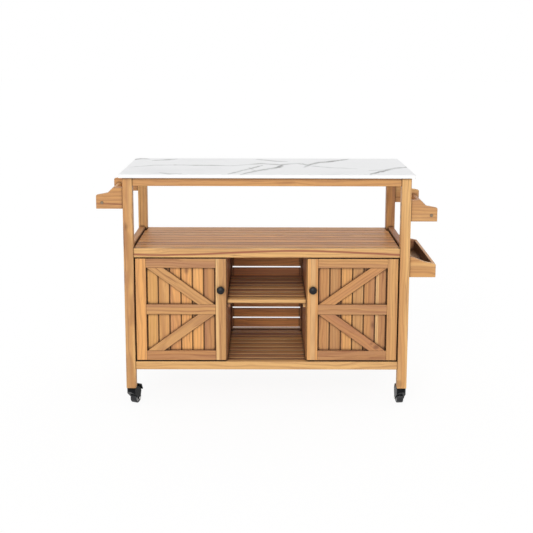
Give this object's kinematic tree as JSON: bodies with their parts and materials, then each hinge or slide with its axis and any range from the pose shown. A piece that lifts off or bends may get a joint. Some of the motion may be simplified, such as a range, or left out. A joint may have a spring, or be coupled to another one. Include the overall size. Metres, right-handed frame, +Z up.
{
  "type": "outdoor bar cart",
  "caption": "Wooden outdoor bar cart with stone worktop, open shelf, door cupboards beside an open bay, side racks and swivel casters.",
  "frame": {"origin": "on the floor, under the middle of the frame", "axes": "+X to the right seen from the front, +Y to the back, +Z up through the worktop"},
  "size_m": [1.292, 0.5375, 0.914],
  "materials": {
    "wood": "oiled",
    "stone_top": "polished",
    "steel": "satin",
    "caster_black": "satin",
    "knob_black": "satin",
    "hub": "satin",
    "tread": "matte"
  },
  "bodies": {
    "root": {"back_boards": "wood", "bay_shelf_cleats": "wood", "bay_shelf_slats": "wood", "bottom_rail_front": "wood", "bottom_rail_rear": "wood", "caster_stems": "steel", "corner_battens": "wood", "door_catches": "caster_black", "floor_slats": "wood", "partitions": "wood", "pivot_bushes": "steel", "post_front_left": "wood", "post_front_right": "wood", "post_rear_left": "wood", "post_rear_right": "wood", "rack_screws": "steel", "shelf_cleats": "wood", "shelf_rail_front": "wood", "shelf_rail_rear": "wood", "shelf_slats": "wood", "side_boards": "wood", "side_rails": "wood", "spice_rack_boards": "wood", "spice_rack_ends": "wood", "top_apron_front": "wood", "top_apron_rear": "wood", "towel_arms": "wood", "towel_bars": "wood", "worktop_battens": "wood", "worktop_slab": "stone_top"},
    "door_left": {"door_left_braces": "wood", "door_left_knob": "knob_black", "door_left_metalwork": "steel", "door_left_rails": "wood", "door_left_slats": "wood", "door_left_stiles": "wood"},
    "door_right": {"door_right_braces": "wood", "door_right_knob": "knob_black", "door_right_metalwork": "steel", "door_right_rails": "wood", "door_right_slats": "wood", "door_right_stiles": "wood"},
    "swivel_front_left": {"caster_fork_front_left": "caster_black", "caster_axle_front_left": "steel"},
    "wheel_front_left": {"caster_hub_front_left": "hub", "caster_tread_front_left": "tread"},
    "swivel_front_right": {"caster_fork_front_right": "caster_black", "caster_axle_front_right": "steel"},
    "wheel_front_right": {"caster_hub_front_right": "hub", "caster_tread_front_right": "tread"},
    "swivel_rear_left": {"caster_fork_rear_left": "caster_black", "caster_axle_rear_left": "steel"},
    "wheel_rear_left": {"caster_hub_rear_left": "hub", "caster_tread_rear_left": "tread"},
    "swivel_rear_right": {"caster_fork_rear_right": "caster_black", "caster_axle_rear_right": "steel"},
    "wheel_rear_right": {"caster_hub_rear_right": "hub", "caster_tread_rear_right": "tread"},
    "brake_front_left": {"brake_lever_front_left": "caster_black"},
    "brake_front_right": {"brake_lever_front_right": "caster_black"}
  },
  "joints": [
    {"name": "door_left_hinge", "type": "hinge", "parent": "root", "child": "door_left", "pos_m": [-0.494, -0.2285, 0], "axis": [0, 0, -1], "range_deg": [0, 100]},
    {"name": "door_right_hinge", "type": "hinge", "parent": "root", "child": "door_right", "pos_m": [0.494, -0.2285, 0], "axis": [0, 0, 1], "range_deg": [0, 100]},
    {"name": "swivel_front_left_turn", "type": "hinge", "parent": "root", "child": "swivel_front_left", "pos_m": [-0.5265, -0.225, 0], "axis": [0, 0, 1], "continuous": true},
    {"name": "wheel_front_left_spin", "type": "hinge", "parent": "swivel_front_left", "child": "wheel_front_left", "pos_m": [-0.51552, -0.20033, 0.021], "axis": [-0.9135, 0.4067, 0], "continuous": true},
    {"name": "swivel_front_right_turn", "type": "hinge", "parent": "root", "child": "swivel_front_right", "pos_m": [0.5265, -0.225, 0], "axis": [0, 0, 1], "continuous": true},
    {"name": "wheel_front_right_spin", "type": "hinge", "parent": "swivel_front_right", "child": "wheel_front_right", "pos_m": [0.52368, -0.19815, 0.021], "axis": [-0.9945, -0.1045, 0], "continuous": true},
    {"name": "swivel_rear_left_turn", "type": "hinge", "parent": "root", "child": "swivel_rear_left", "pos_m": [-0.5265, 0.225, 0], "axis": [0, 0, 1], "continuous": true},
    {"name": "wheel_rear_left_spin", "type": "hinge", "parent": "swivel_rear_left", "child": "wheel_rear_left", "pos_m": [-0.52181, 0.25159, 0.021], "axis": [-0.9848, 0.1736, 0], "continuous": true},
    {"name": "swivel_rear_right_turn", "type": "hinge", "parent": "root", "child": "swivel_rear_right", "pos_m": [0.5265, 0.225, 0], "axis": [0, 0, 1], "continuous": true},
    {"name": "wheel_rear_right_spin", "type": "hinge", "parent": "swivel_rear_right", "child": "wheel_rear_right", "pos_m": [0.52181, 0.25159, 0.021], "axis": [-0.9848, -0.1736, 0], "continuous": true},
    {"name": "brake_front_left_press", "type": "hinge", "parent": "swivel_front_left", "child": "brake_front_left", "pos_m": [-0.51267, -0.19394, 0.05], "axis": [-0.9135, 0.4067, 0], "range_deg": [0, 20]},
    {"name": "brake_front_right_press", "type": "hinge", "parent": "swivel_front_right", "child": "brake_front_right", "pos_m": [0.52295, -0.19119, 0.05], "axis": [-0.9945, -0.1045, 0], "range_deg": [0, 20]}
  ]
}
